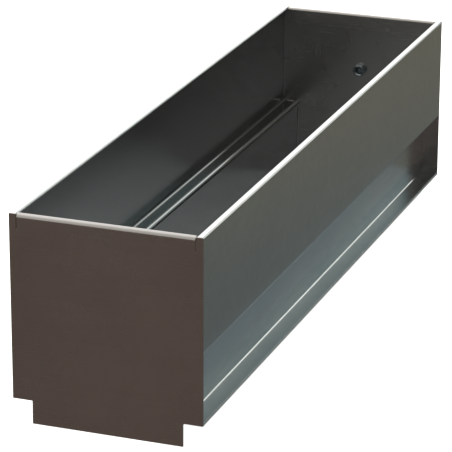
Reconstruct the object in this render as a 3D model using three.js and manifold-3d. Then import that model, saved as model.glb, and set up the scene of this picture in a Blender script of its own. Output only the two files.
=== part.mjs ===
// Trough feeder: a metre-long folded-steel feed trough with T-shaped end plates.
// Millimetres, +Z up, +Y along the trough, +X across it. The origin is on the ground, under the
// middle of the pan's flat floor.
import * as THREE from 'three';
import { mergeVertices } from 'three/addons/utils/BufferGeometryUtils.js';
import Module from 'manifold-3d';

const wasm = await Module();
wasm.setup();

// ---------------------------------------------------------------- driving dimensions
const troughWidth = 250;
const troughLength = 1007;
const sideHeight = 241.5; // from the lower edge of the wide part to the rim
const tabDrop = 30.5; // how far the narrow tab of each end plate reaches below the wide part
const tabInset = 26; // how far each tab edge is set in from the side of the plate

const sheet = 2; // thickness of the folded side profiles and of the pan
const plate = 2; // thickness of the end plates
const fitGap = 0.3; // clearance between pieces that touch

const rimWidth = 9; // the hemmed rim, from its inner edge to the outside
const hemReturn = 5.5; // how far the hem folds back under the rim
const ledgeHeight = 92.4; // top of the inner ledge above the wide part's lower edge
const throatInset = 25.5; // inner face of the narrow throat, from the outside of the trough
const flangeHeight = 4.5; // top of the bottom flange above the wide part's lower edge

const earWidth = 9.5; // the flat ear of an end plate that covers a rim's end
const slitWidth = 0.6; // relief slit between an ear and the folded top edge
const slitDepth = 20;
const foldDepth = 8.5; // the folded top edge of an end plate, measured along the trough
const foldLeg = 22; // how far the folded edge's inner leg hangs down

const panSlopeAngle = THREE.MathUtils.degToRad(42);

const boltHeight = 154; // bolt axis above the wide part's lower edge
const boltRadius = 5; // M10
const boltReach = 11.6; // under the head
const headThickness = 6.4;
const hexAcrossFlats = 17;
const nutThickness = 8;
const washerRadius = 10;
const washerThickness = 2;
const boltHoleRadius = 5.5;
const nutBoreRadius = 5.3;
const hexChamfer = 0.9;

const weldLeg = 1.2;

const bendStep = THREE.MathUtils.degToRad(15);
const roundSegments = 36;

// ---------------------------------------------------------------- derived dimensions
const halfWidth = troughWidth / 2;
const halfLength = troughLength / 2;
const halfSheet = sheet / 2;
const wideBottom = tabDrop;
const rimTop = wideBottom + sideHeight;
const tabHalfWidth = halfWidth - tabInset;
const plateInner = halfLength - plate; // inner face of each end plate, from the middle
const profileLength = 2 * (plateInner - fitGap);
const flangeTop = wideBottom + flangeHeight;
const throatInner = halfWidth - throatInset;
const boltZ = wideBottom + boltHeight;

// Centre-line radii of the bends in the side profile, from the rim down.
const hemRadius = halfSheet + 0.3;
const rimBend = 1.5;
const ledgeOuterBend = 5.5;
const ledgeInnerBend = 5;
const flangeBend = 3;

// Centre-line radii of the bends in the pan.
const panFlangeBend = 3;
const panFloorBend = 6;

// Centre-line radii of the folded top edge of an end plate.
const foldOuterBend = 4;
const foldInnerBend = 2;

// ---------------------------------------------------------------- materials
const steel = { color: 0xa9aeb0, roughness: 0.28, metalness: 1 };
const panSteel = { color: 0x8f9496, roughness: 0.5, metalness: 1 };
const coatedPlate = { color: 0x5a4a42, roughness: 0.42, metalness: 0.35 };
const zincFastener = { color: 0x8d9296, roughness: 0.35, metalness: 1 };
const weldMetal = { color: 0x7d8082, roughness: 0.55, metalness: 1 };

function piece(name, geometry, look) {
  const mesh = new THREE.Mesh(geometry, new THREE.MeshStandardMaterial(look));
  mesh.name = name;
  return mesh;
}

// ---------------------------------------------------------------- solids and booleans
function toSolid(geometry) {
  const bare = geometry.clone();
  bare.deleteAttribute('normal');
  bare.deleteAttribute('uv');
  const merged = mergeVertices(bare, 1e-4);
  const vertProperties = new Float32Array(merged.attributes.position.array);
  const triVerts = new Uint32Array(merged.index.array);
  return new wasm.Manifold(new wasm.Mesh({ numProp: 3, vertProperties, triVerts }));
}

function toGeometry(solid) {
  const mesh = solid.getMesh();
  const geometry = new THREE.BufferGeometry();
  geometry.setAttribute('position', new THREE.BufferAttribute(mesh.vertProperties, 3));
  geometry.setIndex(new THREE.BufferAttribute(mesh.triVerts, 1));
  geometry.computeVertexNormals();
  return geometry;
}

// A disc or cylinder along Y, from y = start to y = start + length, turned from a profile of
// [radius, distance along Y] points.
function turned(profile) {
  const points = profile.map(([radius, along]) => new THREE.Vector2(radius, along));
  return new THREE.LatheGeometry(points, roundSegments);
}

function cylinderAlongY(radius, start, length) {
  return turned([
    [0, start],
    [radius, start],
    [radius, start + length],
    [0, start + length],
  ]);
}

// ---------------------------------------------------------------- folded sheet sections
// A section is drawn as a centre line in a plane (u across, v up). Each station on it holds its
// place and the unit normal to the left of the direction of travel.
function foldStations(corners, radii) {
  const points = corners.map(([u, v]) => new THREE.Vector2(u, v));
  const stations = [];
  const addStation = (place, heading) => {
    const last = stations[stations.length - 1];
    if (last && last.place.distanceTo(place) < 1e-4) {
      return;
    }
    stations.push({ place, normal: new THREE.Vector2(-heading.y, heading.x) });
  };
  const headingFrom = (from, to) => to.clone().sub(from).normalize();

  addStation(points[0], headingFrom(points[0], points[1]));
  for (let i = 1; i < points.length - 1; i += 1) {
    const arriving = headingFrom(points[i - 1], points[i]);
    const leaving = headingFrom(points[i], points[i + 1]);
    const turn = Math.atan2(arriving.cross(leaving), arriving.dot(leaving));
    const radius = radii[i - 1];
    const tangentLength = radius * Math.tan(Math.abs(turn) / 2);
    const arcStart = points[i].clone().addScaledVector(arriving, -tangentLength);
    const toCentre = new THREE.Vector2(-arriving.y, arriving.x).multiplyScalar(Math.sign(turn));
    const centre = arcStart.clone().addScaledVector(toCentre, radius);
    const steps = Math.ceil(Math.abs(turn) / bendStep);
    for (let step = 0; step <= steps; step += 1) {
      const angle = (turn * step) / steps;
      const place = arcStart.clone().rotateAround(centre, angle);
      const heading = arriving.clone().rotateAround(new THREE.Vector2(), angle);
      addStation(place, heading);
    }
  }
  const last = points.length - 1;
  addStation(points[last], headingFrom(points[last - 1], points[last]));
  return stations;
}

// The strip between two offsets from the centre line.
function bandShape(stations, near, far) {
  const offsetPoint = ({ place, normal }, distance) => place.clone().addScaledVector(normal, distance);
  const nearSide = stations.map((station) => offsetPoint(station, near));
  const farSide = stations.map((station) => offsetPoint(station, far)).reverse();
  return new THREE.Shape([...nearSide, ...farSide]);
}

function extrude(shape, depth) {
  return new THREE.ExtrudeGeometry(shape, { depth, bevelEnabled: false, curveSegments: 12 });
}

// A section drawn with u = X and v = Z, extruded along the trough from y = start.
function alongTrough(shape, start, length) {
  return extrude(shape, length)
    .rotateX(Math.PI / 2)
    .translate(0, start + length, 0);
}

// ---------------------------------------------------------------- side profile
// One folded sheet: hemmed rim, tall panel, inward ledge, throat wall and outward flange.
// It is drawn for the +X side; the -X side is the same piece turned end for end.
const rimCentre = rimTop - halfSheet;
const panelCentre = halfWidth - halfSheet;
const ledgeCentre = wideBottom + ledgeHeight - halfSheet;
const throatCentre = throatInner + halfSheet;
const flangeCentre = flangeTop - halfSheet;
const hemCentre = rimCentre - 2 * hemRadius;
const hemTurn = halfWidth - rimWidth + halfSheet;

function sideProfile() {
  const corners = [
    [hemTurn + hemReturn - halfSheet, hemCentre],
    [hemTurn, hemCentre],
    [hemTurn, rimCentre],
    [panelCentre, rimCentre],
    [panelCentre, ledgeCentre],
    [throatCentre, ledgeCentre],
    [throatCentre, flangeCentre],
    [halfWidth, flangeCentre],
  ];
  const radii = [hemRadius, hemRadius, rimBend, ledgeOuterBend, ledgeInnerBend, flangeBend];
  const section = bandShape(foldStations(corners, radii), -halfSheet, halfSheet);
  return alongTrough(section, -profileLength / 2, profileLength);
}

// ---------------------------------------------------------------- pan
// The floor of the trough: a flat bottom level with the tabs, two sloping sides, and flanges
// that lie under the flanges of the side profiles and end flush with them.
const panFlangeCentre = flangeTop - sheet - fitGap - halfSheet;
const panShoulder = throatInner + 1.5;
const panFloorEdge = panShoulder - (panFlangeCentre - halfSheet) / Math.tan(panSlopeAngle);

function panStations() {
  const rightHalf = [
    [halfWidth, panFlangeCentre],
    [panShoulder, panFlangeCentre],
    [panFloorEdge, halfSheet],
  ];
  const leftHalf = rightHalf.map(([u, v]) => [-u, v]).reverse();
  const radii = [panFlangeBend, panFloorBend, panFloorBend, panFlangeBend];
  return foldStations([...rightHalf, ...leftHalf], radii);
}

function feedPan() {
  return alongTrough(bandShape(panStations(), -halfSheet, halfSheet), -profileLength / 2, profileLength);
}

// ---------------------------------------------------------------- end plates
// Drawn for the rear (+Y) end; the front plate is the same blank turned end for end, without
// the bolt hole. The top edge between the two ears is folded over into the trough.
const slitOuter = halfWidth - earWidth;
const slitInner = slitOuter - slitWidth;
const foldStart = rimTop - halfSheet - foldOuterBend;

function plateOutline() {
  const rightHalf = [
    [tabHalfWidth, 0],
    [tabHalfWidth, wideBottom],
    [halfWidth, wideBottom],
    [halfWidth, rimTop],
    [slitOuter, rimTop],
    [slitOuter, rimTop - slitDepth],
    [slitInner, rimTop - slitDepth],
    [slitInner, foldStart],
  ];
  const leftHalf = rightHalf.map(([x, z]) => [-x, z]).reverse();
  return new THREE.Shape([...rightHalf, ...leftHalf].map(([x, z]) => new THREE.Vector2(x, z)));
}

// The fold's section has u = distance inwards from the plate's outer face and v = Z.
function foldedEdge() {
  const plateMiddle = plate / 2;
  const corners = [
    [plateMiddle, rimTop - slitDepth],
    [plateMiddle, rimTop - plateMiddle],
    [foldDepth - plateMiddle, rimTop - plateMiddle],
    [foldDepth - plateMiddle, rimTop - foldLeg],
  ];
  const stations = foldStations(corners, [foldOuterBend, foldInnerBend]);
  return extrude(bandShape(stations, -plateMiddle, plateMiddle), 2 * slitInner)
    .rotateX(Math.PI / 2)
    .rotateZ(-Math.PI / 2)
    .translate(slitInner, halfLength, 0);
}

function endPlateSolid() {
  const flat = alongTrough(plateOutline(), plateInner, plate);
  return toSolid(flat).add(toSolid(foldedEdge()));
}

function frontEndPlate() {
  return toGeometry(endPlateSolid()).rotateZ(Math.PI);
}

function rearEndPlate() {
  const hole = cylinderAlongY(boltHoleRadius, plateInner - 1, plate + 2).translate(0, 0, boltZ);
  return toGeometry(endPlateSolid().subtract(toSolid(hole)));
}

// ---------------------------------------------------------------- bolt, washers and nut
// All are drawn on the Y axis and lifted to the bolt's height. Distances are along Y.
const outerWasherStart = halfLength + fitGap;
const headStart = outerWasherStart + washerThickness + fitGap;
const innerWasherEnd = plateInner - fitGap;
const nutEnd = innerWasherEnd - washerThickness - fitGap;
const nutStart = nutEnd - nutThickness;
const hexCorner = hexAcrossFlats / Math.sqrt(3);

function hexPrism(start, length) {
  const corners = [];
  for (let i = 0; i < 6; i += 1) {
    const angle = (i * Math.PI) / 3;
    corners.push(new THREE.Vector2(hexCorner * Math.cos(angle), hexCorner * Math.sin(angle)));
  }
  return alongTrough(new THREE.Shape(corners), start, length);
}

// A plug that rounds off the six corners of a hexagon at one or both of its ends.
function cornerRounder(start, length, chamferStart, chamferEnd) {
  const face = hexCorner - 2 * hexChamfer;
  return turned([
    [0, start],
    [face + (hexCorner - face) * (1 - chamferStart), start],
    [hexCorner + 0.01, start + hexChamfer * chamferStart],
    [hexCorner + 0.01, start + length - hexChamfer * chamferEnd],
    [face + (hexCorner - face) * (1 - chamferEnd), start + length],
    [0, start + length],
  ]);
}

function rearBolt() {
  const head = toSolid(hexPrism(headStart, headThickness))
    .intersect(toSolid(cornerRounder(headStart, headThickness, 0, 1)));
  const tip = headStart - boltReach;
  const shank = turned([
    [0, tip],
    [boltRadius - 0.8, tip],
    [boltRadius, tip + 0.8],
    [boltRadius, headStart + 1],
    [0, headStart + 1],
  ]);
  return toGeometry(head.add(toSolid(shank)));
}

function hexNut() {
  const countersink = nutBoreRadius + 0.7;
  const bore = turned([
    [0, nutStart - 1],
    [countersink + 1, nutStart - 1],
    [nutBoreRadius, nutStart + 0.7],
    [nutBoreRadius, nutEnd - 0.7],
    [countersink + 1, nutEnd + 1],
    [0, nutEnd + 1],
  ]);
  const blank = toSolid(hexPrism(nutStart, nutThickness))
    .intersect(toSolid(cornerRounder(nutStart, nutThickness, 1, 1)));
  return toGeometry(blank.subtract(toSolid(bore)));
}

function washer(start) {
  const outline = new THREE.Shape().absarc(0, 0, washerRadius, 0, 2 * Math.PI);
  outline.holes.push(new THREE.Path().absarc(0, 0, boltHoleRadius, 0, 2 * Math.PI, true));
  const geometry = new THREE.ExtrudeGeometry(outline, {
    depth: washerThickness,
    bevelEnabled: false,
    curveSegments: roundSegments,
  });
  return geometry.rotateX(Math.PI / 2).translate(0, start + washerThickness, 0);
}

// ---------------------------------------------------------------- welds
// A straight bead in a corner. It spreads from its root along two directions at right angles.
function filletBead(first, second, across, upward) {
  const section = new THREE.Shape([
    new THREE.Vector2(0, 0),
    new THREE.Vector2(weldLeg, 0),
    new THREE.Vector2(0.6 * weldLeg, 0.6 * weldLeg),
    new THREE.Vector2(0, weldLeg),
  ]);
  const run = second.clone().sub(first);
  const along = across.clone().cross(upward);
  const start = run.dot(along) > 0 ? first : second;
  const placing = new THREE.Matrix4().makeBasis(across, upward, along).setPosition(start);
  return extrude(section, run.length()).applyMatrix4(placing);
}

// The three beads of one inside corner: up the panel, along the ledge and up the throat wall.
// side is 1 on the right and -1 on the left; end is 1 at the rear and -1 at the front.
function cornerBeads(side, end) {
  const rootY = end * (plateInner - fitGap);
  const panelX = halfWidth - sheet - fitGap;
  const throatX = throatInner - fitGap;
  const ledgeTop = wideBottom + ledgeHeight;
  const at = (x, z) => new THREE.Vector3(side * x, rootY, z);
  const inward = new THREE.Vector3(-side, 0, 0);
  const upright = new THREE.Vector3(0, 0, 1);
  const fromPlate = new THREE.Vector3(0, -end, 0);
  const panelFoot = ledgeTop + ledgeOuterBend;
  const hemUnderside = hemCentre - halfSheet - fitGap;
  const ledgeStart = throatInner + ledgeInnerBend + halfSheet;
  const ledgeEnd = halfWidth - sheet - ledgeOuterBend;
  const throatFoot = flangeTop + flangeBend;
  const throatHead = ledgeTop - ledgeInnerBend - halfSheet;
  return {
    panel: filletBead(at(panelX, panelFoot), at(panelX, hemUnderside), inward, fromPlate),
    ledge: filletBead(at(ledgeStart, ledgeTop + fitGap), at(ledgeEnd, ledgeTop + fitGap), upright, fromPlate),
    throat: filletBead(at(throatX, throatFoot), at(throatX, throatHead), inward, fromPlate),
  };
}

// A bead joins each end of the pan to the end plate, along the pan's upper face.
function panWeld() {
  const slopeTop = new THREE.Vector2(panShoulder, panFlangeCentre);
  const slopeFoot = new THREE.Vector2(panFloorEdge, halfSheet);
  const start = slopeTop.lerp(slopeFoot, 0.2);
  const corners = [
    [start.x, start.y],
    [panFloorEdge, halfSheet],
    [-panFloorEdge, halfSheet],
    [-start.x, start.y],
  ];
  const stations = foldStations(corners, [panFloorBend, panFloorBend]);
  const near = -halfSheet - fitGap;
  const bead = bandShape(stations, near, near - weldLeg);
  return alongTrough(bead, plateInner - fitGap - weldLeg, weldLeg);
}

// A bead fills the groove between the throat's lower bend and the pan's shoulder, along the
// whole trough. Its two hollow faces follow those bends with the usual clearance.
function panSeamWeld() {
  const throatBendX = throatCentre + flangeBend;
  const throatBendZ = flangeCentre + flangeBend;
  const throatRadius = flangeBend + halfSheet + fitGap;
  const shoulderX = panShoulder + panFlangeBend * Math.tan(panSlopeAngle / 2);
  const shoulderZ = panFlangeCentre - panFlangeBend;
  const shoulderRadius = panFlangeBend + halfSheet + fitGap;
  const upright = Math.PI / 2;
  const rootAngle = upright + THREE.MathUtils.degToRad(15);
  const topAngle = Math.PI + THREE.MathUtils.degToRad(5);
  const deepAngle = Math.PI + THREE.MathUtils.degToRad(50);
  const outline = new THREE.Shape();
  outline.absarc(throatBendX, throatBendZ, throatRadius, topAngle, deepAngle, false);
  outline.absarc(shoulderX, shoulderZ, shoulderRadius, rootAngle, upright + panSlopeAngle, false);
  const beadLength = profileLength - 2 * (weldLeg + fitGap);
  const bead = new THREE.ExtrudeGeometry(outline, {
    depth: beadLength,
    bevelEnabled: false,
    curveSegments: 5,
  });
  return bead.rotateX(Math.PI / 2).translate(0, beadLength / 2, 0);
}

// ---------------------------------------------------------------- assembly
// A half is what belongs to one side or one end. Turning it by half a turn about Z gives the
// matching half on the other side or at the other end.
const trough = new THREE.Group();

trough.add(piece('front_end_plate', frontEndPlate(), coatedPlate));
trough.add(piece('rear_end_plate', rearEndPlate(), coatedPlate));
trough.add(piece('feed_pan', feedPan(), panSteel));

const fastening = new THREE.Group();
fastening.position.z = boltZ;
fastening.add(piece('rear_bolt', rearBolt(), zincFastener));
fastening.add(piece('rear_outer_washer', washer(outerWasherStart), zincFastener));
fastening.add(piece('rear_inner_washer', washer(innerWasherEnd - washerThickness), zincFastener));
fastening.add(piece('rear_hex_nut', hexNut(), zincFastener));
trough.add(fastening);

for (const side of ['right', 'left']) {
  const half = new THREE.Group();
  half.rotation.z = side === 'right' ? 0 : Math.PI;
  half.add(piece(`${side}_side_profile`, sideProfile(), steel));
  half.add(piece(`${side}_pan_seam_weld`, panSeamWeld(), weldMetal));
  trough.add(half);
}

for (const end of ['rear', 'front']) {
  const half = new THREE.Group();
  half.rotation.z = end === 'rear' ? 0 : Math.PI;
  half.add(piece(`${end}_pan_weld`, panWeld(), weldMetal));
  trough.add(half);
  for (const side of ['left', 'right']) {
    const beads = cornerBeads(side === 'right' ? 1 : -1, end === 'rear' ? 1 : -1);
    for (const [run, bead] of Object.entries(beads)) {
      trough.add(piece(`${end}_${side}_${run}_weld`, bead, weldMetal));
    }
  }
}

export default trough;
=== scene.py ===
"""Trough feeder: the looks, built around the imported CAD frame.

Metres, +Z up, +Y along the trough towards the bolted rear end plate, +X to the right. The origin
is on the ground under the middle of the pan.
"""

import math

import bmesh
import bpy
from mathutils import Matrix, Vector, noise


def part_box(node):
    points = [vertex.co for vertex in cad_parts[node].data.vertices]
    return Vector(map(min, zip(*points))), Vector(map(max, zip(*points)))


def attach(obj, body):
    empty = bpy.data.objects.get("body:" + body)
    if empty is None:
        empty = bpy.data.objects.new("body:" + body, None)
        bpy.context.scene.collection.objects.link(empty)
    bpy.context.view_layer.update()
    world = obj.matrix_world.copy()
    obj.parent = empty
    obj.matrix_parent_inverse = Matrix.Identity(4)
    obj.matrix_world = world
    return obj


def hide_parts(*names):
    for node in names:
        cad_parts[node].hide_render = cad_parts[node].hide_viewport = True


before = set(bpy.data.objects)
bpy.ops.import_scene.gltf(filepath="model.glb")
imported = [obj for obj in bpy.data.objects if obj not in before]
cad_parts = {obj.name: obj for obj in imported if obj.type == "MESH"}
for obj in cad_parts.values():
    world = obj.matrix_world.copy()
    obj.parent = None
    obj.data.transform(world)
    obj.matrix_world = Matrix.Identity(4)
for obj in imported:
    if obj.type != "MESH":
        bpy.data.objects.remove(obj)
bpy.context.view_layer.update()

MM = 0.001

# ---------------------------------------------------------------- places taken from the CAD
side_low, side_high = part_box("right_side_profile")
rear_low, rear_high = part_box("rear_end_plate")
_, pan_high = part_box("feed_pan")
nut_low, nut_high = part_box("rear_hex_nut")
bolt_low, bolt_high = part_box("rear_bolt")
inner_washer_low, inner_washer_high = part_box("rear_inner_washer")
outer_washer_low, outer_washer_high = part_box("rear_outer_washer")

HALF_WIDTH = side_high.x
HALF_LENGTH = rear_high.y
RIM_TOP = side_high.z
WIDE_BOTTOM = 30.5 * MM  # lower edge of the end plates' wide part
THROAT_INNER = side_low.x
FASTENER_Z = (nut_low.z + nut_high.z) / 2

# ---------------------------------------------------------------- sheet-metal dimensions
SHEET = 2 * MM
HALF_SHEET = SHEET / 2
PLATE = 2 * MM
BUTT_GAP = 0.05 * MM  # left between a sheet's end and the end plate it is welded to

RIM_WIDTH = 9 * MM
HEM_RETURN = 5.5 * MM
LEDGE_TOP = WIDE_BOTTOM + 92.4 * MM
FLANGE_TOP = WIDE_BOTTOM + 4.5 * MM
HEM_BEND = 1.3 * MM
RIM_BEND = 1.5 * MM
LEDGE_OUTER_BEND = 5.5 * MM
LEDGE_INNER_BEND = 5 * MM
FLANGE_BEND = 3 * MM

TAB_HALF_WIDTH = HALF_WIDTH - 26 * MM
EAR_WIDTH = 9.5 * MM
SLIT_WIDTH = 0.6 * MM
SLIT_DEPTH = 20 * MM
SLIT_OUTER = HALF_WIDTH - EAR_WIDTH
SLIT_INNER = SLIT_OUTER - SLIT_WIDTH
FOLD_DEPTH = rear_high.y - rear_low.y
FOLD_LEG = 22 * MM
FOLD_OUTER_RADIUS = 5 * MM
FOLD_INNER_RADIUS = 3 * MM
FOLD_FOOT = RIM_TOP - FOLD_OUTER_RADIUS  # where the flat part ends and the fold begins
BOLT_HOLE_RADIUS = 5.5 * MM

PAN_FLANGE_CENTRE = pan_high.z - HALF_SHEET
PAN_SHOULDER = THROAT_INNER + 1.5 * MM
PAN_SLOPE = math.radians(42)
PAN_FLOOR_EDGE = PAN_SHOULDER - (PAN_FLANGE_CENTRE - HALF_SHEET) / math.tan(PAN_SLOPE)
PAN_FLANGE_BEND = 3 * MM
PAN_FLOOR_BEND = 6 * MM

PLATE_INNER = HALF_LENGTH - PLATE
SHEET_END = PLATE_INNER - BUTT_GAP
EDGE_BEVEL = 0.25 * MM
SHARPEST_MITRE = 0.5  # keeps a thickened skin from spiking at a sharp corner
MERGE_DISTANCE = 0.001 * MM


# ---------------------------------------------------------------- mesh helpers
def finish_piece(name, mesh, body, material, sharp=35):
    """Turns a bmesh into a smooth-shaded object with the given material."""
    bmesh.ops.recalc_face_normals(mesh, faces=mesh.faces)
    data = bpy.data.meshes.new(name)
    mesh.to_mesh(data)
    mesh.free()
    data.polygons.foreach_set("use_smooth", [True] * len(data.polygons))
    data.set_sharp_from_angle(angle=math.radians(sharp))
    data.materials.append(material)
    piece = bpy.data.objects.new(name, data)
    bpy.context.scene.collection.objects.link(piece)
    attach(piece, body)
    return piece


def soften_edges(piece):
    """Rounds the cut edges of a piece a little."""
    bevel = piece.modifiers.new("cut_edges", "BEVEL")
    bevel.width = EDGE_BEVEL
    bevel.segments = 2
    bevel.limit_method = "ANGLE"
    bevel.angle_limit = math.radians(50)
    bevel.harden_normals = True
    return piece


def loft(mesh, rings, closed_rings=True, cap_ends=True):
    """Joins rings of points into a skin. Every ring has the same number of points."""
    rows = [[mesh.verts.new(point) for point in ring] for ring in rings]
    count = len(rows[0])
    last = count if closed_rings else count - 1
    for row, following in zip(rows, rows[1:]):
        for i in range(last):
            j = (i + 1) % count
            mesh.faces.new((row[i], row[j], following[j], following[i]))
    if cap_ends:
        mesh.faces.new(rows[0])
        mesh.faces.new(rows[-1])


def fold_stations(corners, radii, step=math.radians(6)):
    """Walks a folded centre line: (place, left-hand normal) pairs, with an arc at each corner."""
    points = [Vector(corner) for corner in corners]
    stations = []

    def add(place, heading):
        if stations and (stations[-1][0] - place).length < MERGE_DISTANCE / 10:
            return
        stations.append((place, Vector((-heading.y, heading.x))))

    add(points[0], (points[1] - points[0]).normalized())
    for before, corner, after, radius in zip(points, points[1:], points[2:], radii):
        arriving = (corner - before).normalized()
        leaving = (after - corner).normalized()
        turn = math.atan2(arriving.cross(leaving), arriving.dot(leaving))
        tangent = radius * math.tan(abs(turn) / 2)
        arc_start = corner - arriving * tangent
        towards_centre = Vector((-arriving.y, arriving.x)) * math.copysign(1, turn)
        centre = arc_start + towards_centre * radius
        steps = max(2, math.ceil(abs(turn) / step))
        for i in range(steps + 1):
            spin = Matrix.Rotation(turn * i / steps, 2)
            add(centre + spin @ (arc_start - centre), spin @ arriving)
    add(points[-1], (points[-1] - points[-2]).normalized())
    return stations


def offset_line(stations, distance):
    """The line that runs beside the stations' centre line, to its left if distance is over 0."""
    return [place + normal * distance for place, normal in stations]


def folded_sheet(name, stations, mirror, body, material):
    """A sheet of even thickness along the trough, folded to the stations' centre line."""
    near = offset_line(stations, -HALF_SHEET)
    far = offset_line(stations, HALF_SHEET)
    mesh = bmesh.new()
    rows = []
    for y in (-SHEET_END, SHEET_END):
        ring = [Vector((mirror * p.x, y, p.y)) for p in near + far[::-1]]
        rows.append([mesh.verts.new(point) for point in ring])
    front, back = rows
    count = len(front)
    for i in range(count):
        j = (i + 1) % count
        mesh.faces.new((front[i], front[j], back[j], back[i]))
    for row in rows:
        for i in range(len(stations) - 1):
            mesh.faces.new((row[i], row[i + 1], row[count - 2 - i], row[count - 1 - i]))
    return soften_edges(finish_piece(name, mesh, body, material))


# ---------------------------------------------------------------- node helpers
def put(tree, kind, inputs=None, **settings):
    """Adds a node, sets its properties, and fills or links its inputs."""
    node = tree.nodes.new(kind)
    for key, value in settings.items():
        setattr(node, key, value)
    for key, value in (inputs or {}).items():
        if isinstance(value, bpy.types.NodeSocket):
            tree.links.new(value, node.inputs[key])
        else:
            node.inputs[key].default_value = value
    return node


def maths(tree, operation, first, second=0.0, clamp=False):
    """The result of one arithmetic node. Its inputs are numbers or sockets."""
    node = put(tree, "ShaderNodeMath", {0: first, 1: second}, operation=operation)
    node.use_clamp = clamp
    return node.outputs[0]


def ramp_between(tree, value, low, high, to_low=0.0, to_high=1.0):
    """A smooth step of value from low to high."""
    node = put(
        tree,
        "ShaderNodeMapRange",
        {"Value": value, "From Min": low, "From Max": high, "To Min": to_low, "To Max": to_high},
        interpolation_type="SMOOTHSTEP",
    )
    return node.outputs["Result"]


def blend_colour(tree, factor, first, second):
    """The first colour where factor is nought and the second where it is one."""
    node = put(tree, "ShaderNodeMix", data_type="RGBA")
    for socket, value in ((0, factor), (6, first), (7, second)):
        if isinstance(value, bpy.types.NodeSocket):
            tree.links.new(value, node.inputs[socket])
        elif socket == 0:
            node.inputs[socket].default_value = value
        else:
            node.inputs[socket].default_value = (*value, 1)
    return node.outputs[2]


def stretched(tree, coordinates, scale):
    """Coordinates scaled separately along each axis."""
    node = put(tree, "ShaderNodeMapping", {"Vector": coordinates, "Scale": scale})
    return node.outputs["Vector"]


def noise_at(tree, coordinates, scale, detail, roughness=0.55):
    node = put(
        tree,
        "ShaderNodeTexNoise",
        {"Vector": coordinates, "Scale": scale, "Detail": detail, "Roughness": roughness},
    )
    return node.outputs["Fac"]


def edge_mask(tree, radius):
    """One near a convex or concave edge, nought on flat metal. It compares the true normal with
    one rounded over radius; the two agree fully on flat metal."""
    rounded = put(tree, "ShaderNodeBevel", {"Radius": radius}, samples=6)
    geometry = put(tree, "ShaderNodeNewGeometry")
    agreement = put(
        tree,
        "ShaderNodeVectorMath",
        {0: rounded.outputs["Normal"], 1: geometry.outputs["Normal"]},
        operation="DOT_PRODUCT",
    )
    flat, full_edge = 0.995, 0.80
    return ramp_between(tree, agreement.outputs["Value"], flat, full_edge)


# ---------------------------------------------------------------- materials
# Texture scales are in cycles per metre, and levels are pairs of noise values.
DRIFT_SCALE = 7.0
SMEAR_STRETCH = (23, 9, 23)
CRYSTAL_SCALE = 95.0
SCRATCH_FINENESS = 3  # how much finer the scratches are than the grain
SCRATCH_LEVELS = (0.70, 0.76)
GRAIN_SHARE = 0.45
DRIFT_SHARE = 0.35
SMEAR_SHARE = 0.2
TONE_LEVELS = (0.3, 0.7)
WEAR_LEVELS = (0.35, 0.6)
LEAST_WEAR = 0.35
SCRATCH_ROUGHNESS = 0.03
EDGE_ROUGHNESS = 0.05
GRAIN_RELIEF = 0.6
SCRATCH_RELIEF = 0.15
RELIEF_DEPTH = 0.02 * MM


def inside_shade_mask(tree, place):
    """One on the faces inside the trough, nought on its outside and on the rims. It marks where
    shade is painted into the colour inside the trough.
    """
    skin = 0.4 * SHEET  # how deep into a sheet its inner face is taken to reach
    axes = put(tree, "ShaderNodeSeparateXYZ", {"Vector": place})
    across = maths(tree, "ABSOLUTE", axes.outputs["X"])
    in_throat = maths(tree, "LESS_THAN", across, THROAT_INNER + skin)
    in_wide_part = maths(tree, "LESS_THAN", across, HALF_WIDTH - SHEET + skin)
    over_ledge = maths(tree, "GREATER_THAN", axes.outputs["Z"], LEDGE_TOP - skin)
    under_rim = maths(tree, "LESS_THAN", axes.outputs["Z"], RIM_TOP - SHEET - skin)
    upper_part = maths(tree, "MULTIPLY", in_wide_part, over_ledge)
    upper_part = maths(tree, "MULTIPLY", upper_part, under_rim)
    return maths(tree, "MAXIMUM", in_throat, upper_part)


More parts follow.
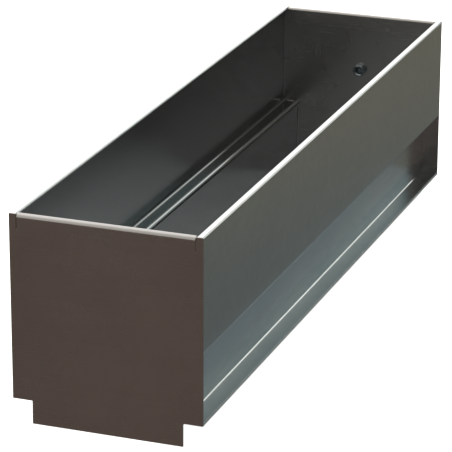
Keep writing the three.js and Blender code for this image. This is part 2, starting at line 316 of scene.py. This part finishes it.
def metal(
    name,
    dark,
    light,
    worn,
    rough,
    grain,
    spangle=0.25,
    bump=0.3,
    metallic=1.0,
    edge=0.8 * MM,
    inside_shade_share=1.0,
):
    """Rolled sheet or bar: grain along one axis, faint crystal spangle, hairline scratches,
    slow drifts of tone, and brighter wear along the edges. grain is the texture's scale on each
    axis, small along the rolling direction. rough is its lowest and highest roughness.
    inside_shade_share is how bright the faces inside the trough are painted next to the others: a
    painted shade over the trough's inside."""
    material = bpy.data.materials.new(name)
    material.use_nodes = True
    tree = material.node_tree
    tree.nodes.clear()
    place = put(tree, "ShaderNodeTexCoord").outputs["Object"]

    rolling = noise_at(tree, stretched(tree, place, grain), 1.0, 6.0, 0.65)
    drift = noise_at(tree, place, DRIFT_SCALE, 3.0)
    smear = noise_at(tree, stretched(tree, place, SMEAR_STRETCH), 1.0, 5.0, 0.6)
    crystals = put(tree, "ShaderNodeTexVoronoi", {"Vector": place, "Scale": CRYSTAL_SCALE})
    crystal_tone = put(tree, "ShaderNodeSeparateColor", {"Color": crystals.outputs["Color"]})
    fine_grain = tuple(SCRATCH_FINENESS * scale for scale in grain)
    scratch_noise = noise_at(tree, stretched(tree, place, fine_grain), 1.0, 2.0)
    scratches = ramp_between(tree, scratch_noise, *SCRATCH_LEVELS)

    tone = maths(tree, "MULTIPLY", rolling, GRAIN_SHARE)
    tone = maths(tree, "ADD", tone, maths(tree, "MULTIPLY", drift, DRIFT_SHARE))
    tone = maths(tree, "ADD", tone, maths(tree, "MULTIPLY", smear, SMEAR_SHARE))
    crystal_shift = maths(tree, "MULTIPLY", crystal_tone.outputs[0], spangle)
    crystal_shift = maths(tree, "SUBTRACT", crystal_shift, spangle / 2)
    tone = maths(tree, "ADD", tone, crystal_shift, clamp=True)
    tone = ramp_between(tree, tone, *TONE_LEVELS)
    edges = edge_mask(tree, edge)
    wear = ramp_between(tree, smear, *WEAR_LEVELS, LEAST_WEAR, 1.0)
    broken_edges = maths(tree, "MULTIPLY", edges, wear)

    colour = blend_colour(tree, tone, dark, light)
    colour = blend_colour(tree, broken_edges, colour, worn)
    # Painted shade: the faces inside the trough get a darkened copy of the colour.
    if inside_shade_share < 1.0:
        painted_inside_shade = put(
            tree,
            "ShaderNodeHueSaturation",
            {"Color": colour, "Value": inside_shade_share},
        ).outputs["Color"]
        colour = blend_colour(tree, inside_shade_mask(tree, place), colour, painted_inside_shade)

    low, high = rough
    roughness = maths(tree, "ADD", maths(tree, "MULTIPLY", drift, high - low), low)
    roughness = maths(tree, "ADD", roughness, maths(tree, "MULTIPLY", scratches, SCRATCH_ROUGHNESS))
    roughness = maths(tree, "ADD", roughness, maths(tree, "MULTIPLY", edges, EDGE_ROUGHNESS))

    scored = maths(tree, "MULTIPLY", scratches, SCRATCH_RELIEF)
    relief = maths(tree, "SUBTRACT", maths(tree, "MULTIPLY", rolling, GRAIN_RELIEF), scored)
    bumped = put(
        tree,
        "ShaderNodeBump",
        {"Strength": bump, "Distance": RELIEF_DEPTH, "Height": relief},
    )
    shader = put(
        tree,
        "ShaderNodeBsdfPrincipled",
        {
            "Base Color": colour,
            "Metallic": metallic,
            "Roughness": roughness,
            "Normal": bumped.outputs["Normal"],
        },
    )
    put(tree, "ShaderNodeOutputMaterial", {"Surface": shader.outputs["BSDF"]})
    return material


side_steel = metal(
    "bright_rolled_steel",
    dark=(0.575, 0.60, 0.60),
    light=(0.63, 0.65, 0.645),
    worn=(0.70, 0.71, 0.71),
    rough=(0.15, 0.21),
    grain=(900, 9, 900),
    spangle=0.15,
    bump=0.15,
    # painted shade: the trough's inside at about half the brightness of the outside
    inside_shade_share=0.52,
)
pan_steel = metal(
    "dull_pan_steel",
    dark=(0.28, 0.30, 0.305),
    light=(0.36, 0.38, 0.385),
    worn=(0.45, 0.46, 0.46),
    rough=(0.42, 0.55),
    grain=(600, 10, 600),
    spangle=0.5,
    metallic=0.72,
)
plate_finish = metal(
    "brown_end_plate",
    dark=(0.375, 0.356, 0.345),
    light=(0.415, 0.396, 0.385),
    worn=(0.48, 0.465, 0.455),
    rough=(0.24, 0.30),
    grain=(9, 700, 700),
    spangle=0.08,
    bump=0.08,
)
fastener_zinc = metal(
    "zinc_plated_fastener",
    dark=(0.16, 0.185, 0.205),
    light=(0.25, 0.28, 0.30),
    worn=(0.48, 0.50, 0.51),
    rough=(0.22, 0.34),
    grain=(800, 800, 800),
    edge=0.5 * MM,
)
weld_metal = metal(
    "brushed_weld",
    dark=(0.20, 0.20, 0.20),
    light=(0.32, 0.32, 0.315),
    worn=(0.42, 0.42, 0.415),
    rough=(0.32, 0.5),
    grain=(1400, 1400, 1400),
    edge=0.2 * MM,
)


# ---------------------------------------------------------------- side profiles
def side_profile_line():
    """Hem, rim, panel, ledge, throat wall and flange of the right-hand side."""
    panel = HALF_WIDTH - HALF_SHEET
    throat = THROAT_INNER + HALF_SHEET
    rim = RIM_TOP - HALF_SHEET
    hem = rim - 2 * HEM_BEND
    hem_turn = HALF_WIDTH - RIM_WIDTH + HALF_SHEET
    ledge = LEDGE_TOP - HALF_SHEET
    flange = FLANGE_TOP - HALF_SHEET
    corners = (
        (hem_turn + HEM_RETURN - HALF_SHEET, hem),
        (hem_turn, hem),
        (hem_turn, rim),
        (panel, rim),
        (panel, ledge),
        (throat, ledge),
        (throat, flange),
        (HALF_WIDTH, flange),
    )
    bends = (HEM_BEND, HEM_BEND, RIM_BEND, LEDGE_OUTER_BEND, LEDGE_INNER_BEND, FLANGE_BEND)
    return fold_stations(corners, bends)


for side, mirror in (("right", 1), ("left", -1)):
    sheet = folded_sheet(f"{side}_folded_side", side_profile_line(), mirror, "root", side_steel)
    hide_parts(f"{side}_side_profile")


# ---------------------------------------------------------------- pan
def pan_line():
    """Flange, slope, floor, slope and flange, from right to left."""
    right_half = [
        (pan_high.x, PAN_FLANGE_CENTRE),
        (PAN_SHOULDER, PAN_FLANGE_CENTRE),
        (PAN_FLOOR_EDGE, HALF_SHEET),
    ]
    left_half = [(-x, z) for x, z in reversed(right_half)]
    bends = (PAN_FLANGE_BEND, PAN_FLOOR_BEND, PAN_FLOOR_BEND, PAN_FLANGE_BEND)
    return fold_stations(right_half + left_half, bends)


pan = folded_sheet("folded_pan", pan_line(), 1, "root", pan_steel)
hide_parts("feed_pan")


# ---------------------------------------------------------------- end plates
HOLE_STEPS = 24


def plate_half(hole_z):
    """Outline of the right-hand half of the flat part, from the middle of its lower edge
    round to the middle of the fold, then down the middle and round half the bolt hole."""
    slit_foot = RIM_TOP - SLIT_DEPTH
    outline = [
        (0, 0),
        (TAB_HALF_WIDTH, 0),
        (TAB_HALF_WIDTH, WIDE_BOTTOM),
        (HALF_WIDTH, WIDE_BOTTOM),
        (HALF_WIDTH, RIM_TOP),
        (SLIT_OUTER, RIM_TOP),
        (SLIT_OUTER, slit_foot),
        (SLIT_INNER, slit_foot),
        (SLIT_INNER, FOLD_FOOT),
        (0, FOLD_FOOT),
    ]
    if hole_z is not None:
        for i in range(HOLE_STEPS + 1):
            angle = math.pi / 2 - math.pi * i / HOLE_STEPS
            x = BOLT_HOLE_RADIUS * math.cos(angle)
            outline.append((max(x, 0.0), hole_z + BOLT_HOLE_RADIUS * math.sin(angle)))
    return outline


def thicken(mesh):
    """Gives an open skin the plate's thickness, on the side away from its normals."""
    mesh.normal_update()
    inner = {}
    for vert in mesh.verts:
        normals = [face.normal for face in vert.link_faces]
        away = sum(normals, Vector()).normalized()
        mitre = min(away.dot(normal) for normal in normals)
        inner[vert] = vert.co - away * PLATE / max(mitre, SHARPEST_MITRE)
    skin = list(mesh.faces)
    rim = [edge for edge in mesh.edges if edge.is_boundary]
    twins = {vert: mesh.verts.new(place) for vert, place in inner.items()}
    for face in skin:
        mesh.faces.new([twins[vert] for vert in reversed(face.verts)])
    for edge in rim:
        first, second = edge.verts
        mesh.faces.new((second, first, twins[first], twins[second]))


def end_plate(name, turn, hole_z):
    """A T-shaped plate whose top edge, between two slits, is folded over into the trough."""
    mesh = bmesh.new()
    for mirror in (1, -1):
        points = [Vector((mirror * x, HALF_LENGTH, z)) for x, z in plate_half(hole_z)]
        mesh.faces.new([mesh.verts.new(point) for point in points])

    corners = (
        (0, FOLD_FOOT),
        (0, RIM_TOP),
        (FOLD_DEPTH, RIM_TOP),
        (FOLD_DEPTH, RIM_TOP - FOLD_LEG),
    )
    line = [place for place, _ in fold_stations(corners, (FOLD_OUTER_RADIUS, FOLD_INNER_RADIUS))]
    rings = []
    for x in (-SLIT_INNER, 0, SLIT_INNER):
        rings.append([Vector((x, HALF_LENGTH - p.x, p.y)) for p in line])
    loft(mesh, rings, closed_rings=False, cap_ends=False)
    bmesh.ops.remove_doubles(mesh, verts=mesh.verts, dist=MERGE_DISTANCE)
    bmesh.ops.recalc_face_normals(mesh, faces=mesh.faces)
    biggest = max(mesh.faces, key=lambda face: face.calc_area())
    if biggest.normal.y < 0:
        bmesh.ops.reverse_faces(mesh, faces=mesh.faces)
    thicken(mesh)
    bmesh.ops.rotate(mesh, verts=mesh.verts, matrix=Matrix.Rotation(turn, 3, "Z"))
    return soften_edges(finish_piece(name, mesh, "root", plate_finish))


end_plates = (("rear_end_plate", 0, FASTENER_Z), ("front_end_plate", math.pi, None))
for node, turn, hole_z in end_plates:
    plate = end_plate(f"{node}_folded", turn, hole_z)
    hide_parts(node)


# ---------------------------------------------------------------- bolt, nut and washers
ROUND_STEPS = 96
HEX_FLAT = (nut_high.z - nut_low.z) / 2
CHAMFER_START = HEX_FLAT * 0.96
CHAMFER_SLOPE = math.tan(math.radians(30))
HEX_EDGE_WIDTH = 0.2 * MM  # the rounded edge between a hexagon's sides and its chamfer
HEX_EDGE_HEIGHT = 0.25 * MM
THREAD_PITCH = 1.5 * MM
THREAD_DEPTH = 0.75 * MM
THREAD_SAMPLES = 72
CREST_FLATTENING = 1.25  # cuts the top fifth off a thread's sharp crest
BOLT_RADIUS = 4.95 * MM
TIP_CHAMFER_LENGTH = 0.5 * MM
TIP_RADIUS = BOLT_RADIUS - THREAD_DEPTH - 0.3 * MM
HEAD_THICKNESS = 6.4 * MM
HEAD_FILLET = 0.2 * MM
WASHER_FACE = HEX_FLAT * 0.95
WASHER_FACE_HEIGHT = 0.4 * MM
HEAD_LOWER_EDGE = 0.15 * MM
DISH_RIM = HEX_FLAT * 0.62  # the shallow dish in the top of the head
DISH_FLOOR = HEX_FLAT * 0.55
DISH_DEPTH = 0.25 * MM
NUT_BORE = 5.3 * MM
NUT_MOUTH = NUT_BORE + 0.9 * MM
NUT_MOUTH_DEPTH = 0.8 * MM
NUT_THREAD_DEPTH = 0.45 * MM
NUT_THREAD_SAMPLES = 48
WASHER_ROUNDING = 0.35 * MM


def hex_radius(angle):
    """Distance from the axis to a hexagon's side, with two flats facing up and down."""
    sector = math.pi / 3
    off_flat = (angle - math.pi / 2 + sector / 2) % sector - sector / 2
    return HEX_FLAT / math.cos(off_flat)


def chamfer_drop(radius):
    """How far a hexagon's chamfer cuts back the end face at this radius."""
    return max(0.0, radius - CHAMFER_START) * CHAMFER_SLOPE


def thread_wave(y, angle):
    """Nought at the root of a thread and one at its crest."""
    phase = (y / THREAD_PITCH + angle / (2 * math.pi)) % 1.0
    return min(1.0, CREST_FLATTENING * (1 - abs(2 * phase - 1)))


def spun(name, profile_at, closed, material):
    """Turns a profile that may change with the angle round the fastener's axis. A closed
    profile makes a ring; an open one starts and ends on the axis."""
    mesh = bmesh.new()
    rings = []
    for i in range(ROUND_STEPS):
        angle = 2 * math.pi * i / ROUND_STEPS
        outward = Vector((math.cos(angle), 0, math.sin(angle)))
        centre = Vector((0, 0, FASTENER_Z))
        rings.append([centre + outward * r + Vector((0, y, 0)) for r, y in profile_at(angle)])
    rings.append(rings[0])
    loft(mesh, rings, closed_rings=closed, cap_ends=False)
    bmesh.ops.remove_doubles(mesh, verts=mesh.verts, dist=MERGE_DISTANCE / 10)
    return finish_piece(name, mesh, "root", material, sharp=28)


def bolt_profile(angle):
    """From the tip along the thread to the head and over its dished top."""
    head_start = bolt_high.y - HEAD_THICKNESS
    hex_start = head_start + WASHER_FACE_HEIGHT
    side = hex_radius(angle)
    eased_side = side - HEX_EDGE_WIDTH
    thread_start = bolt_low.y + TIP_CHAMFER_LENGTH
    thread_length = head_start - 2 * TIP_CHAMFER_LENGTH - thread_start
    points = [(0, bolt_low.y), (TIP_RADIUS, bolt_low.y)]
    for i in range(THREAD_SAMPLES + 1):
        y = thread_start + thread_length * i / THREAD_SAMPLES
        points.append((BOLT_RADIUS - THREAD_DEPTH * (1 - thread_wave(y, angle)), y))
    points += [
        (BOLT_RADIUS, head_start - HEAD_FILLET),
        (BOLT_RADIUS + HEAD_FILLET, head_start),
        (WASHER_FACE, head_start),
        (WASHER_FACE, hex_start),
        (side - HEAD_LOWER_EDGE, hex_start),
        (side, hex_start + HEAD_LOWER_EDGE),
        (side, bolt_high.y - chamfer_drop(side) - HEX_EDGE_HEIGHT),
        (eased_side, bolt_high.y - chamfer_drop(eased_side)),
        (CHAMFER_START, bolt_high.y),
        (DISH_RIM, bolt_high.y),
        (DISH_FLOOR, bolt_high.y - DISH_DEPTH),
        (0, bolt_high.y - DISH_DEPTH),
    ]
    return points


def nut_profile(angle):
    """Along the threaded bore from the inner end, then back over the chamfered outside."""
    side = hex_radius(angle)
    eased_side = side - HEX_EDGE_WIDTH
    thread_start = nut_low.y + NUT_MOUTH_DEPTH
    thread_length = nut_high.y - nut_low.y - 2 * NUT_MOUTH_DEPTH
    points = [(NUT_MOUTH, nut_low.y)]
    for i in range(NUT_THREAD_SAMPLES + 1):
        y = thread_start + thread_length * i / NUT_THREAD_SAMPLES
        points.append((NUT_BORE + NUT_THREAD_DEPTH * (1 - thread_wave(y, angle)), y))
    points += [
        (NUT_MOUTH, nut_high.y),
        (CHAMFER_START, nut_high.y),
        (eased_side, nut_high.y - chamfer_drop(eased_side)),
        (side, nut_high.y - chamfer_drop(side) - HEX_EDGE_HEIGHT),
        (side, nut_low.y + chamfer_drop(side) + HEX_EDGE_HEIGHT),
        (eased_side, nut_low.y + chamfer_drop(eased_side)),
        (CHAMFER_START, nut_low.y),
    ]
    return points


def washer_profile(low, high):
    """A flat ring with a stamped washer's rounded outer edges and broken inner edges."""
    outer = (high.z - low.z) / 2
    rounding = WASHER_ROUNDING
    broken = rounding / 2
    return [
        (BOLT_HOLE_RADIUS, low.y + broken),
        (BOLT_HOLE_RADIUS + broken, low.y),
        (outer - rounding, low.y),
        (outer - 0.1 * MM, low.y + 0.12 * MM),
        (outer, low.y + rounding),
        (outer, high.y - rounding),
        (outer - 0.1 * MM, high.y - 0.12 * MM),
        (outer - rounding, high.y),
        (BOLT_HOLE_RADIUS + broken, high.y),
        (BOLT_HOLE_RADIUS, high.y - broken),
    ]


inner_washer_profile = washer_profile(inner_washer_low, inner_washer_high)
outer_washer_profile = washer_profile(outer_washer_low, outer_washer_high)
fasteners = (
    ("rear_bolt", "threaded_bolt", bolt_profile, False),
    ("rear_hex_nut", "chamfered_nut", nut_profile, True),
    ("rear_inner_washer", "inner_washer_ring", lambda angle: inner_washer_profile, True),
    ("rear_outer_washer", "outer_washer_ring", lambda angle: outer_washer_profile, True),
)
for node, name, profile_at, closed in fasteners:
    piece = spun(name, profile_at, closed, fastener_zinc)
    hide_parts(node)


# ---------------------------------------------------------------- welds
RIPPLE_PITCH = 1.4 * MM
RIPPLE_SAMPLES = 5
RIPPLE_HEIGHT = 0.1
WANDER_HEIGHT = 0.04
WANDERS_PER_METRE = 140
WELD_SIZE = 1.35 * MM
WELD_SINK = 0.12 * MM  # how far a bead sinks into the sheets it joins
WELD_END_SIZE = 0.35  # size of a bead's ends next to its middle
WELD_TAPER = 1.5 * WELD_SIZE
WELD_ARC_STEPS = 6
WELD_HOLLOW = 0.28  # how far the middle of a bead's face dips below a round one
PAN_WELD_RISE = 0.8  # how far up the pan's slopes the end beads climb

# The seam beads fill the groove between two bends. The arcs are in degrees round each bend.
SEAM_SAMPLES = 3  # for each ripple
SEAM_SWELL = 0.5 * MM
THROAT_ARC = range(185, 231, 9)
SHOULDER_ARC = range(105, 133, 9)


def ripple(distance, seed):
    """Height of a bead, up to 1: overlapping crescents with a slow wander."""
    crescent = abs(math.sin(math.pi * distance / RIPPLE_PITCH)) ** 0.6
    wander = noise.noise(Vector((distance * WANDERS_PER_METRE, seed, 0)))
    lowest = 1 - RIPPLE_HEIGHT - WANDER_HEIGHT
    return lowest + RIPPLE_HEIGHT * crescent + WANDER_HEIGHT * wander


def evenly_along(points, spacing):
    """Resamples a line of points at an even spacing: (point, heading, distance) triples."""
    samples = []
    travelled = 0.0
    due = 0.0
    for start, end in zip(points, points[1:]):
        length = (end - start).length
        heading = (end - start).normalized()
        while due <= travelled + length:
            samples.append((start + heading * (due - travelled), heading, due))
            due += spacing
        travelled += length
    return samples


def fillet_bead(name, line, across, upward, seed):
    """A rippled fillet along line, smaller at its ends. across(heading) and upward are the two
    directions in which the bead spreads from its root."""
    mesh = bmesh.new()
    rings = []
    samples = evenly_along(line, RIPPLE_PITCH / RIPPLE_SAMPLES)
    total = samples[-1][2]
    for place, heading, distance in samples:
        from_end = min(distance, total - distance)
        taper = min(1.0, WELD_END_SIZE + from_end / WELD_TAPER)
        size = WELD_SIZE * ripple(distance, seed) * taper
        side = across(heading)
        ring = [place]
        for i in range(WELD_ARC_STEPS + 1):
            angle = math.pi / 2 * i / WELD_ARC_STEPS
            bulge = size * (1 - WELD_HOLLOW + WELD_HOLLOW * abs(math.cos(2 * angle)))
            ring.append(place + side * bulge * math.cos(angle) + upward * bulge * math.sin(angle))
        rings.append(ring)
    loft(mesh, rings)
    return finish_piece(name, mesh, "root", weld_metal, sharp=60)


def straight_bead(node):
    """A bead up the panel, along the ledge or up the throat wall, from where the CAD has it."""
    low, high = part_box(node)
    side = 1 if low.x > 0 else -1
    end = 1 if low.y > 0 else -1
    root_y = end * (PLATE_INNER + WELD_SINK)
    towards_middle = Vector((0, -end, 0))
    if "ledge" in node:
        root_z = LEDGE_TOP - WELD_SINK
        line = [Vector((low.x, root_y, root_z)), Vector((high.x, root_y, root_z))]
        across = Vector((0, 0, 1))
    else:
        surface = HALF_WIDTH - SHEET if "panel" in node else THROAT_INNER
        root_x = side * (surface + WELD_SINK)
        line = [Vector((root_x, root_y, low.z)), Vector((root_x, root_y, high.z))]
        across = Vector((-side, 0, 0))
    seed = low.x * 70 + low.y * 9 + low.z  # another wander for each bead
    return fillet_bead(f"{node}_bead", line, lambda heading: across, towards_middle, seed)


def pan_bead_line(end):
    """Where the pan's upper face meets an end plate."""
    reach = PAN_FLOOR_EDGE + (PAN_SHOULDER - PAN_FLOOR_EDGE) * PAN_WELD_RISE
    height = HALF_SHEET + (PAN_FLANGE_CENTRE - HALF_SHEET) * PAN_WELD_RISE
    corners = (
        (reach, height),
        (PAN_FLOOR_EDGE, HALF_SHEET),
        (-PAN_FLOOR_EDGE, HALF_SHEET),
        (-reach, height),
    )
    stations = fold_stations(corners, (PAN_FLOOR_BEND, PAN_FLOOR_BEND))
    surface = offset_line(stations, -HALF_SHEET + WELD_SINK)
    y = end * (PLATE_INNER + WELD_SINK)
    return [Vector((p.x, y, p.y)) for p in surface]


def out_of_pan(heading):
    """The direction out of the pan's upper face for a bead that runs from right to left."""
    return Vector((heading.z, 0, -heading.x))


for end_name, end in (("front", -1), ("rear", 1)):
    towards_middle = Vector((0, -end, 0))
    node = f"{end_name}_pan_weld"
    line = pan_bead_line(end)
    beads = {node: fillet_bead(f"{node}_bead", line, out_of_pan, towards_middle, end)}
    for side in ("left", "right"):
        for run in ("panel", "ledge", "throat"):
            node = f"{end_name}_{side}_{run}_weld"
            beads[node] = straight_bead(node)
    for node, bead in beads.items():
        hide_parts(node)


def seam_bead(name, mirror, low, high):
    """The long bead in the groove between the throat's lower bend and the pan's shoulder."""
    throat_x = THROAT_INNER + HALF_SHEET + FLANGE_BEND
    throat_z = FLANGE_TOP - HALF_SHEET + FLANGE_BEND
    shoulder_x = PAN_SHOULDER + PAN_FLANGE_BEND * math.tan(PAN_SLOPE / 2)
    shoulder_z = PAN_FLANGE_CENTRE - PAN_FLANGE_BEND
    throat_radius = FLANGE_BEND + HALF_SHEET
    shoulder_radius = PAN_FLANGE_BEND + HALF_SHEET

    def on_circle(x, z, radius, degrees):
        angle = math.radians(degrees)
        return Vector((x + radius * math.cos(angle), 0, z + radius * math.sin(angle)))

    throat_arc = [on_circle(throat_x, throat_z, throat_radius, d) for d in THROAT_ARC]
    shoulder_arc = [on_circle(shoulder_x, shoulder_z, shoulder_radius, d) for d in SHOULDER_ARC]
    face_top = throat_arc[0]
    face_foot = shoulder_arc[-1]
    mesh = bmesh.new()
    rings = []
    length = high.y - low.y
    count = int(length / (RIPPLE_PITCH / SEAM_SAMPLES))
    for i in range(count + 1):
        distance = length * i / count
        swell = SEAM_SWELL * ripple(distance, mirror)
        ring = throat_arc + shoulder_arc
        for share in (0.25, 0.5, 0.75):
            crown = 1 - (2 * share - 1) ** 2
            ring.append(face_foot.lerp(face_top, share) - Vector((swell * crown, 0, 0)))
        rings.append([Vector((mirror * p.x, low.y + distance, p.z)) for p in ring])
    loft(mesh, rings)
    return finish_piece(name, mesh, "root", weld_metal, sharp=60)


for side, mirror in (("left", -1), ("right", 1)):
    node = f"{side}_pan_seam_weld"
    bead = seam_bead(f"{node}_bead", mirror, *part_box(node))
    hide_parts(node)


# ---------------------------------------------------------------- camera
CAMERA_PLACE = Vector((1.20879, -3.37011, 1.39230))
CAMERA_AZIMUTH = math.radians(-20.2096)
CAMERA_ELEVATION = math.radians(19.8280)
CAMERA_ROLL = math.radians(0.1865)
CAMERA_LENS = 221.81

camera_data = bpy.data.cameras.new("camera")
camera_data.lens = CAMERA_LENS
camera_data.sensor_width = 36
camera_data.clip_end = 200
camera = bpy.data.objects.new("camera", camera_data)
forward = Vector(
    (
        math.sin(CAMERA_AZIMUTH) * math.cos(CAMERA_ELEVATION),
        math.cos(CAMERA_AZIMUTH) * math.cos(CAMERA_ELEVATION),
        -math.sin(CAMERA_ELEVATION),
    )
)
level_right = forward.cross(Vector((0, 0, 1))).normalized()
level_up = level_right.cross(forward)
right = level_right * math.cos(CAMERA_ROLL) + level_up * math.sin(CAMERA_ROLL)
up = level_up * math.cos(CAMERA_ROLL) - level_right * math.sin(CAMERA_ROLL)
turn = Matrix((right, up, -forward)).transposed().to_4x4()
camera.matrix_world = Matrix.Translation(CAMERA_PLACE) @ turn
bpy.context.scene.collection.objects.link(camera)
bpy.context.scene.camera = camera


# ---------------------------------------------------------------- floor and light
FLOOR_REACH = 30
NEAR_GROUND = (0.118, 0.130, 0.127)
FAR_GROUND = (0.165, 0.158, 0.128)
FRONT_GROUND = (0.170, 0.128, 0.109)
DARK_FRONT = (0.060, 0.062, 0.066)
LIT_FRONT = (0.95, 0.94, 0.88)
BACK_WALL = (0.72, 0.70, 0.60)
SHADE = (0.185, 0.245, 0.255)
WINDOW = (2.3, 2.3, 2.2)
SOFTBOX = (1.75, 1.75, 1.70)

FLOOR_FILL = 3.5  # irradiance in watts per square metre
STRIP_POWER = 0.016  # in watts
STRIP_COLOUR = (0.45, 0.75, 1.0)
STRIP_WIDTH = 70 * MM
STRIP_LENGTH = 1.1
STRIP_MIDDLE = 48 * MM  # from the trough's side to the strip's middle line


def pale_floor():
    """A wide white floor."""
    material = bpy.data.materials.new("pale_floor")
    material.use_nodes = True
    shader = material.node_tree.nodes["Principled BSDF"]
    shader.inputs["Base Color"].default_value = (0.9, 0.9, 0.9, 1)
    shader.inputs["Roughness"].default_value = 0.9
    data = bpy.data.meshes.new("floor")
    turns = ((-1, -1), (1, -1), (1, 1), (-1, 1))
    corners = [(x * FLOOR_REACH, y * FLOOR_REACH, 0) for x, y in turns]
    data.from_pydata(corners, [], [(0, 1, 2, 3)])
    data.materials.append(material)
    floor = bpy.data.objects.new("floor", data)
    bpy.context.scene.collection.objects.link(floor)
    floor.visible_glossy = False  # the steel reflects the dim studio and not a white floor


def heading(azimuth, elevation):
    """Unit vector for an azimuth from +Y towards +X and an elevation, both in degrees."""
    around, lift = math.radians(azimuth), math.radians(elevation)
    return Vector(
        (math.sin(around) * math.cos(lift), math.cos(around) * math.cos(lift), math.sin(lift))
    )


def patch(tree, direction, azimuth, elevation, inner, outer):
    """One within inner degrees of a heading, fading to nought at outer degrees."""
    nearness = put(
        tree,
        "ShaderNodeVectorMath",
        {0: direction, 1: heading(azimuth, elevation)},
        operation="DOT_PRODUCT",
    ).outputs["Value"]
    at_outer = math.cos(math.radians(outer))
    at_inner = math.cos(math.radians(inner))
    return ramp_between(tree, nearness, at_outer, at_inner)


def studio_world():
    """A dim ground, warm in front and neutral behind; a soft warm wall behind; a front that is
    lit overhead and to the left and dark elsewhere; a shaded patch and a small low window behind
    the right side; and one large softbox high behind the left side."""
    world = bpy.data.worlds.new("studio")
    world.use_nodes = True
    tree = world.node_tree
    tree.nodes.clear()
    place = put(tree, "ShaderNodeTexCoord").outputs["Generated"]
    unit = put(tree, "ShaderNodeVectorMath", {0: place}, operation="NORMALIZE")
    direction = unit.outputs["Vector"]
    axes = put(tree, "ShaderNodeSeparateXYZ", {"Vector": direction})

    frontwards = ramp_between(tree, axes.outputs["Y"], 0.3, -0.5)
    distance = ramp_between(tree, axes.outputs["Z"], -0.38, -0.26)
    ground = blend_colour(tree, distance, NEAR_GROUND, FAR_GROUND)
    ground = blend_colour(tree, frontwards, ground, FRONT_GROUND)

    overhead = ramp_between(tree, axes.outputs["Z"], 0.38, 0.62)
    leftwards = ramp_between(tree, axes.outputs["X"], 0.10, -0.15)
    lit_share = maths(tree, "MAXIMUM", overhead, leftwards)
    front = blend_colour(tree, lit_share, DARK_FRONT, LIT_FRONT)
    upper = blend_colour(tree, frontwards, BACK_WALL, front)

    above_horizon = ramp_between(tree, axes.outputs["Z"], -0.04, 0.08)
    room = blend_colour(tree, above_horizon, ground, upper)
    room = blend_colour(tree, patch(tree, direction, 21, 20, 9, 14), room, SHADE)
    room = blend_colour(tree, patch(tree, direction, 28, 7, 5, 9), room, WINDOW)
    room = blend_colour(tree, patch(tree, direction, -50, 36, 42, 60), room, SOFTBOX)
    background = put(tree, "ShaderNodeBackground", {"Color": room})
    put(tree, "ShaderNodeOutputWorld", {"Surface": background.outputs["Background"]})
    bpy.context.scene.world = world


def fill_sun():
    """Lifts the floor to white without showing in the steel."""
    data = bpy.data.lights.new("floor_fill", "SUN")
    data.energy = FLOOR_FILL
    data.angle = math.radians(60)
    data.use_shadow = False
    sun = bpy.data.objects.new("floor_fill", data)
    sun.visible_glossy = False
    bpy.context.scene.collection.objects.link(sun)


def low_strip_light():
    """A dim bluish strip that shines upwards from the floor along the right side, for the recess
    to reflect."""
    data = bpy.data.lights.new("low_strip", "AREA")
    data.shape = "RECTANGLE"
    data.size = STRIP_WIDTH
    data.size_y = STRIP_LENGTH
    data.color = STRIP_COLOUR
    data.energy = STRIP_POWER
    strip = bpy.data.objects.new("low_strip", data)
    strip.location = (HALF_WIDTH + STRIP_MIDDLE, 0.05, 2 * MM)
    strip.rotation_euler = (math.pi, 0, 0)
    strip.visible_camera = False
    bpy.context.scene.collection.objects.link(strip)


pale_floor()
studio_world()
fill_sun()
low_strip_light()
bpy.context.scene.view_settings.view_transform = "Standard"
